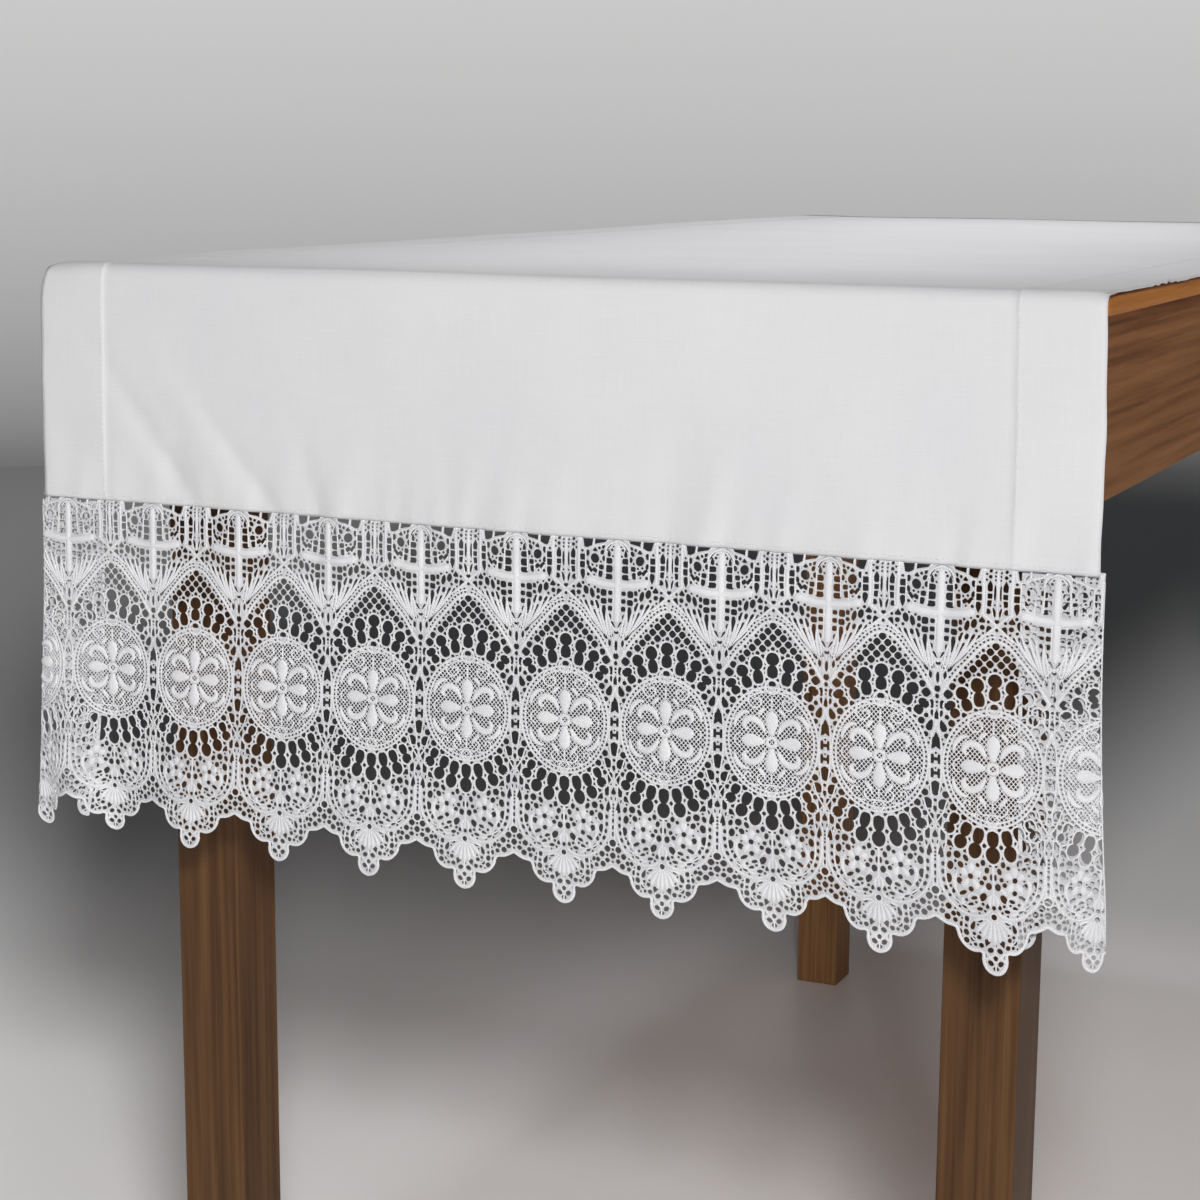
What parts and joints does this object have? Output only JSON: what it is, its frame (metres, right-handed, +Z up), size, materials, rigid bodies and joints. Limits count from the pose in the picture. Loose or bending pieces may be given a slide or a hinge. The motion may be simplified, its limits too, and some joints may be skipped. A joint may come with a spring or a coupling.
{
  "type": "altar frontal cloth on a table",
  "caption": "White linen altar cloth with a deep scalloped lace border, lying over a plain wooden table and hanging down its front end.",
  "frame": {"origin": "on the floor, under the middle of the whole object", "axes": "+X to the right along the front edge, +Y away from the hanging front, +Z up"},
  "size_m": [0.8152, 1.6179, 0.9945],
  "materials": {
    "linen": "matte plain weave",
    "lace": "matte cotton thread with a soft sheen",
    "board_wood": "satin varnish",
    "rail_wood": "satin varnish",
    "leg_wood": "satin varnish"
  },
  "bodies": {
    "root": {"altar_cloth": "linen", "lace_border": "lace", "table_top": "board_wood", "side_rail_left": "rail_wood", "side_rail_right": "rail_wood", "end_rail_front": "rail_wood", "end_rail_rear": "rail_wood", "leg_front_left": "leg_wood", "leg_front_right": "leg_wood", "leg_rear_left": "leg_wood", "leg_rear_right": "leg_wood"}
  },
  "joints": []
}
